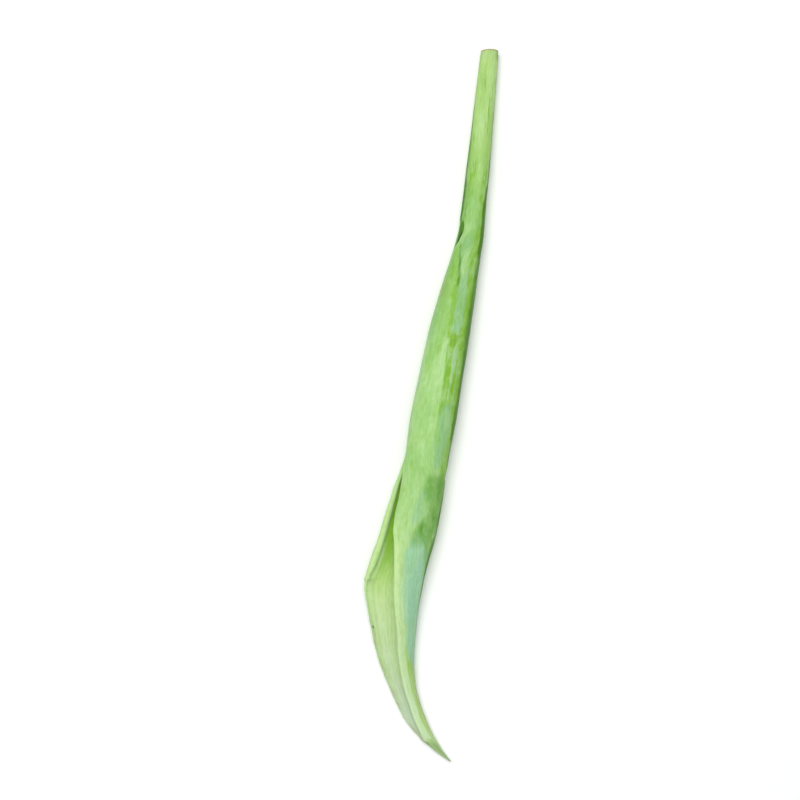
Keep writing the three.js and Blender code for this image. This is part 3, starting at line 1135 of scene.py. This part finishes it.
@dataclass(frozen=True)
class WaxySkin:
    """Living plant skin: green tissue under a thin wax bloom, with a paler lining, and margins that are
    paler and also carry a painted highlight.

    The bloom is a matt, blue-green film that rubs off in streaks, and bare skin under it is a wetter,
    yellower green. Fibre bundles run the whole length, and show as fine lines. The real ones are 0.3 mm
    wide, and they are drawn 1 mm wide so that they show.
    """

    stem: Colours = (
        (-358, "#8da276"), (-339.5, "#94ad72"), (-338, "#adc68c"), (-330, "#bad092"), (-262, "#adcd84"),
        (-200, "#a2ca88"), (-140, "#abd286"), (-60, "#a0ce7f"), (25, "#a3d07c"), (66, "#9dcb79"),
        (110, "#93c36a"), (160, "#90c26e"), (200, "#98c86e"), (229, "#a6cf76"), (309, "#b2d67f"),
        (345, "#b7d982"), (359, "#b0cc7e"),
    )
    stem_streak: str = "#95c65c"
    stem_light: str = "#c2e2a4"
    stem_shade: str = "#88b95a"
    lining: Colours = (
        (-358, "#8fa47a"), (-342, "#96ac7e"), (-338, "#b3c4a4"), (-320, "#b8caae"), (-290, "#bacbaa"),
        (-250, "#bbd29e"), (-200, "#bfd898"), (-182, "#b6d684"), (-171, "#a9ce6e"), (-160, "#9cc75b"),
        (-149, "#95c34e"), (-130, "#9bcb45"), (-95, "#8cc52c"), (-60, "#70aa24"), (170, "#437a17"),
    )
    lining_streak: str = "#b1cf80"
    lining_light: str = "#cfe0be"
    lining_bleached: Span = (-150.0, -195.0)
    # Pale margin colour, which also paints the highlight on the rolled lips and rib.
    edge: Colours = (
        (-358, "#8da276"), (-341, "#93ab78"), (-337, "#c8e2b2"), (-300, "#cbe3b5"), (-250, "#c7e2aa"),
        (-160, "#c5e39c"), (-60, "#bcdf98"), (170, "#b9d99a"),
    )
    edge_shade: str = "#a8cf74"
    bloom: Colours = (
        (-260, "#95c5af"), (-180, "#9bcdb2"), (-145, "#9bccae"), (-110, "#8ec08c"), (160, "#88b77c"),
    )
    bloom_thick: str = "#a2cfa6"
    bloom_roughness: float = 0.14  # that it adds
    fresh: Colours = ((-340, "#a9c862"), (-262, "#a2c55c"), (-200, "#84b83c"), (359, "#84b83c"))
    # Colour of the deeper green, which also serves as painted shade.
    deep: str = "#4b8012"
    lush: str = "#6aa446"
    # Near-black green of the painted shadow in the recess and crease, and of the real speck on the lining.
    dark: str = "#1a350c"
    dry: str = "#a3946a"
    line: str = "#6a9a40"
    mottle_shade: str = "#6fa23c"
    mottle_light: str = "#cfe8b4"
    fleck: str = "#6d7c40"
    roughness: float = 0.46
    # Widths of the patterns in mm, across the fibres.
    line_width: float = 1.0
    feather_width: float = 1.7
    mottle_width: float = 1.8
    streak_width: float = 4.5
    cloud_width: float = 6.0
    patch_width: float = 13.0
    cell_width: float = 0.5  # real cells are a tenth of that, too fine to show
    fleck_scale: tuple[float, float, float] = (0.05, 0.05, 0.03)  # flecks in each mm across and along
    bump_height: float = 0.2 * MM

    def build(self) -> bpy.types.Material:
        """Make the material.

        Returns:
            The finished material.
        """
        material = empty_material("waxy_taro_skin")
        tree = material.node_tree
        skin = SkinPatterns(tree)
        marks = skin.marks
        lines = skin.grain(self.line_width, 150, 2, 3.0)
        streaks = skin.grain(self.streak_width, 60, 3, 11.0)
        patches = skin.grain(self.patch_width, 45, 3, 23.0)
        cloud = skin.grain(self.cloud_width, 13, 4, 31.0)
        feather = skin.grain(self.feather_width, 26, 2, 57.0)
        mottle = skin.grain(self.mottle_width, 7, 3, 71.0)
        blots = add_node(tree, "ShaderNodeMix", {0: 0.5, 2: streaks, 3: cloud}).outputs[0]
        ragged = add_node(tree, "ShaderNodeMix", {0: 0.45, 2: blots, 3: feather}).outputs[0]
        veil = add_node(tree, "ShaderNodeMix", {0: 0.5, 2: streaks, 3: feather}).outputs[0]

        # Outer skin: tissue, streaks that lost their bloom, the bloom, even green and the pale strip.
        edge = skin.colour_along(self.edge)
        colour = skin.colour_along(self.stem)
        for finish, pattern, span, most in (
                (self.stem_streak, streaks, (0.45, 0.75), 0.4),
                (self.stem_light, patches, (0.42, 0.68), 0.5),
                (self.stem_shade, patches, (0.5, 0.3), 0.36)):
            colour = skin.cover(colour, finish, pattern, span, most)
        streaky = skin.fray("fresh", ragged, (0.36, 0.64), (-0.5, 0.5))
        bare = add_node(tree, "ShaderNodeMath", {
            0: skin.thin(streaky, cloud, (0.35, 0.65), (0.6, 1.0)),
            1: skin.fray("fresh", ragged, (0.36, 0.64), (-0.5, 0.5), edge=(1.4, 2.0))}, operation="MAXIMUM")
        colour = skin.cover(colour, skin.colour_along(self.fresh), bare.outputs[0])
        bloom = skin.fray("bloom", ragged, (0.36, 0.64), (0.5, -0.5))
        bloom = skin.thin(bloom, veil, (0.3, 0.7), (0.55, 1.0))
        film = skin.cover(skin.colour_along(self.bloom), self.bloom_thick, patches, (0.4, 0.7), 0.5)
        colour = skin.cover(colour, film, bloom)
        colour = skin.cover(colour, self.lush, skin.thin(marks["lush"], blots, (0.35, 0.65), (0.62, 0.92)))
        # Pale strip beside the upper lip, partly a painted highlight on the rib.
        colour = skin.cover(colour, edge, skin.thin(marks["pale"], blots, (0.35, 0.65), (0.95, 0.65)))

        # Lining of the sheath, bright under the slit and bleached where the light reaches it.
        exposed = add_node(tree, "ShaderNodeMapRange", {
            "Value": skin.height, "From Min": self.lining_bleached[0], "From Max": self.lining_bleached[1],
        }, interpolation_type="SMOOTHSTEP").outputs[0]
        lining = skin.colour_along(self.lining)
        for finish, pattern, span in (
                (self.lining_streak, streaks, (0.45, 0.75)), (self.lining_light, patches, (0.45, 0.7))):
            lining = skin.cover(lining, finish, skin.thin(exposed, pattern, span, (0.0, 0.45)))
        colour = skin.cover(colour, lining, marks["inside"])

        # Margins (paler, with a painted highlight), fibre lines and mottling on both, then the deeper green
        # with painted shade, dry edges, painted shadow with the real speck, and flecks.
        edge = skin.cover(edge, self.edge_shade, cloud, (0.5, 0.8), 0.35)
        for finish, pattern, span, most in (
                (edge, marks["margin"], (0.1, 0.8), 0.92),
                (self.line, lines, (0.4, 0.66), 0.14),
                (self.mottle_shade, mottle, (0.52, 0.3), 0.15),
                (self.mottle_light, mottle, (0.52, 0.72), 0.18)):
            colour = skin.cover(colour, finish, pattern, span, most)
        # Deeper green of bare skin together with painted shade.
        colour = skin.cover(colour, self.deep, skin.fray("deep", blots, (0.35, 0.65), (-0.2, 0.2)))
        dry = skin.fray("dry", cloud, (0.3, 0.7), (-0.25, 0.15), edge=(0.3, 0.9), most=0.85)
        colour = skin.cover(colour, self.dry, dry)
        # Painted shadow in the recess and crease, and the real speck on the lining.
        colour = skin.cover(colour, self.dark, marks["dark"], (0.3, 0.95), 0.95)
        spread = add_node(tree, "ShaderNodeMapping", {"Vector": skin.fibre, "Scale": self.fleck_scale})
        flecks = add_node(tree, "ShaderNodeTexVoronoi", {"Vector": spread.outputs[0], "Scale": 1.0})
        colour = skin.cover(colour, self.fleck, flecks.outputs["Distance"], (0.04, 0.018), 0.3)

        ridges = add_node(tree, "ShaderNodeMapRange", {
            "Value": lines, "From Min": 0.3, "From Max": 0.7}, interpolation_type="SMOOTHSTEP")
        relief = add_node(tree, "ShaderNodeMath", {
            0: skin.grain(self.cell_width, 1.2, 2, 47.0), 1: 0.5, 2: ridges.outputs[0]},
            operation="MULTIPLY_ADD")
        bump = add_node(tree, "ShaderNodeBump", {
            "Strength": 0.3, "Distance": self.bump_height, "Height": relief.outputs[0]})
        sheen = add_node(tree, "ShaderNodeMapRange", {
            "Value": cloud, "From Min": 0.3, "From Max": 0.7, "To Min": self.roughness - 0.05,
            "To Max": self.roughness + 0.05}, interpolation_type="SMOOTHSTEP")
        rough = add_node(tree, "ShaderNodeMath", {
            0: bloom, 1: self.bloom_roughness, 2: sheen.outputs[0]}, operation="MULTIPLY_ADD")
        shader = add_node(tree, "ShaderNodeBsdfPrincipled", {
            "Base Color": colour, "Roughness": rough.outputs[0], "Normal": bump.outputs[0], "IOR": 1.4,
            "Specular IOR Level": 0.22, "Subsurface Weight": 0.15, "Subsurface Radius": (0.5, 1.0, 0.25),
            "Subsurface Scale": 2 * MM})
        add_node(tree, "ShaderNodeOutputMaterial", {"Surface": shader.outputs[0]})
        return material


@dataclass(frozen=True)
class SpongyPith:
    """Freshly cut taro pith: wet, pale green and full of air channels, inside a thin brown rim.

    Its wet cells shine a little and let light in, and the mouths of the air channels are darkened with
    painted shade.
    """

    pith: str = "#d9e6bd"
    wet: str = "#bcd490"
    # Colour of the painted shade in the air channels' mouths.
    pore: str = "#7f9c52"
    pore_pitch: float = 1.25  # mm, as in the cut face's relief
    pore_mouth: Span = (0.42, 0.15)  # in pitches from its middle
    pore_shade: float = 0.75

    def build(self) -> bpy.types.Material:
        """Make the material.

        Returns:
            The finished material.
        """
        material = empty_material("spongy_taro_pith")
        tree = material.node_tree
        place = add_node(tree, "ShaderNodeTexCoord").outputs["Object"]
        cells = 1 / (self.pore_pitch * MM)  # in each metre; the wet patches are three cells wide
        pores = add_node(tree, "ShaderNodeTexVoronoi", {"Vector": place, "Scale": cells})
        cloud = add_node(tree, "ShaderNodeTexNoise", {"Vector": place, "Scale": cells / 3, "Detail": 4.0})
        flesh = add_node(tree, "ShaderNodeMix", {
            0: cloud.outputs["Fac"], 6: linear(self.wet), 7: linear(self.pith)}, data_type="RGBA")
        # Painted shade in the mouths of the air channels.
        mouth = add_node(tree, "ShaderNodeMapRange", {
            "Value": pores.outputs["Distance"], "From Min": self.pore_mouth[0],
            "From Max": self.pore_mouth[1], "To Min": 0.0, "To Max": self.pore_shade})
        colour = add_node(tree, "ShaderNodeMix", {
            0: mouth.outputs[0], 6: flesh.outputs[2], 7: linear(self.pore)}, data_type="RGBA")
        bump = add_node(tree, "ShaderNodeBump", {
            "Strength": 0.4, "Distance": 0.3 * MM, "Height": cloud.outputs["Fac"]})
        shader = add_node(tree, "ShaderNodeBsdfPrincipled", {
            "Base Color": colour.outputs[2], "Roughness": 0.38, "Normal": bump.outputs[0], "IOR": 1.36,
            "Subsurface Weight": 0.2, "Subsurface Radius": (0.6, 1.0, 0.4), "Subsurface Scale": 2 * MM})
        add_node(tree, "ShaderNodeOutputMaterial", {"Surface": shader.outputs[0]})
        return material


# ---- studio


@dataclass
class Studio:
    """Pale floor, soft light and the camera, in metres.

    Attributes:
        aim: The point that the camera looks at.
        elevation: The camera's angle above the floor in degrees.
        distance: From the camera to the point that it looks at.
        lens: Focal length in mm.
        sensor: Width of the camera's sensor in mm.
        floor_size: Side of the square floor.
        floor_gap: How far the floor lies under the stalk, so that the two don't flicker.
        lamps: Name, place, side and watts of each soft square lamp.
    """

    aim: Vector = field(default_factory=lambda: Vector((-0.033, -0.0016, 0.012)))
    elevation: float = 83.0
    distance: float = 1.8
    lens: float = 81.0
    sensor: float = 36.0
    floor_size: float = 12.0
    floor_gap: float = 0.0002
    floor_colour: str = "#fbfbfa"
    floor_roughness: float = 0.9
    air_colour: str = "#f4f7fa"
    air_strength: float = 0.3
    lamps: tuple[tuple[str, tuple[float, float, float], float, float], ...] = (
        ("key_light", (-0.45, 0.4, 2.7), 2.2, 70.0), ("fill_light", (0.9, -0.9, 2.3), 2.2, 9.0))

    def add_camera(self) -> None:
        """Add the camera and make it the scene's own."""
        camera = bpy.data.objects.new("camera", bpy.data.cameras.new("camera"))
        camera.data.sensor_width = self.sensor
        camera.data.lens = self.lens
        angle = math.radians(self.elevation)
        back = Vector((0.0, -math.cos(angle), math.sin(angle)))
        camera.location = self.aim + back * self.distance
        camera.rotation_euler = (math.radians(90 - self.elevation), 0.0, 0.0)
        bpy.context.scene.collection.objects.link(camera)
        bpy.context.scene.camera = camera

    def add_floor(self) -> None:
        """Add the pale floor, which isn't part of the object."""
        maker = bmesh.new()
        bmesh.ops.create_grid(maker, x_segments=1, y_segments=1, size=self.floor_size / 2)
        mesh = bpy.data.meshes.new("floor")
        maker.to_mesh(mesh)
        maker.free()
        material = bpy.data.materials.new("pale_floor")
        material.use_nodes = True
        shader = material.node_tree.nodes["Principled BSDF"]
        shader.inputs["Base Color"].default_value = linear(self.floor_colour)
        shader.inputs["Roughness"].default_value = self.floor_roughness
        mesh.materials.append(material)
        floor = bpy.data.objects.new("floor", mesh)
        floor.location.z = CAD_BOX[0][2] - self.floor_gap
        bpy.context.scene.collection.objects.link(floor)

    def add_light(self, name: str, place: Vector, size: float, power: float) -> None:
        """Add one soft square lamp that faces the stalk.

        Args:
            name: The lamp's name.
            place: Where it stands.
            size: Its side.
            power: Its power in watts.
        """
        data = bpy.data.lights.new(name, "AREA")
        data.shape = "SQUARE"
        data.size = size
        data.energy = power
        lamp = bpy.data.objects.new(name, data)
        lamp.location = place
        lamp.rotation_euler = (-place).to_track_quat("-Z", "Y").to_euler()
        bpy.context.scene.collection.objects.link(lamp)

    def build(self) -> None:
        """Add everything round the stalk."""
        self.add_camera()
        self.add_floor()
        for name, place, size, power in self.lamps:
            self.add_light(name, Vector(place), size, power)
        world = bpy.data.worlds.new("studio_air")
        world.use_nodes = True
        air = world.node_tree.nodes["Background"]
        air.inputs["Color"].default_value = linear(self.air_colour)
        air.inputs["Strength"].default_value = self.air_strength
        bpy.context.scene.world = world
        bpy.context.scene.view_settings.view_transform = "Standard"


# ---- the scene


def main() -> None:
    """Build the studio and the stalk, and say what was made."""
    logging.basicConfig(level=logging.INFO, format="%(message)s")
    Studio().build()
    low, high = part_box(STALK_NODE)
    unit = (high[1] - low[1]) / MODEL_LENGTH_MM
    stalk = LeafStalk(unit).build()
    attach(stalk, "root")
    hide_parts(STALK_NODE)
    log.info("%s: %d points, %d faces", stalk.name, len(stalk.data.vertices), len(stalk.data.polygons))


if __name__ == "__main__":
    main()
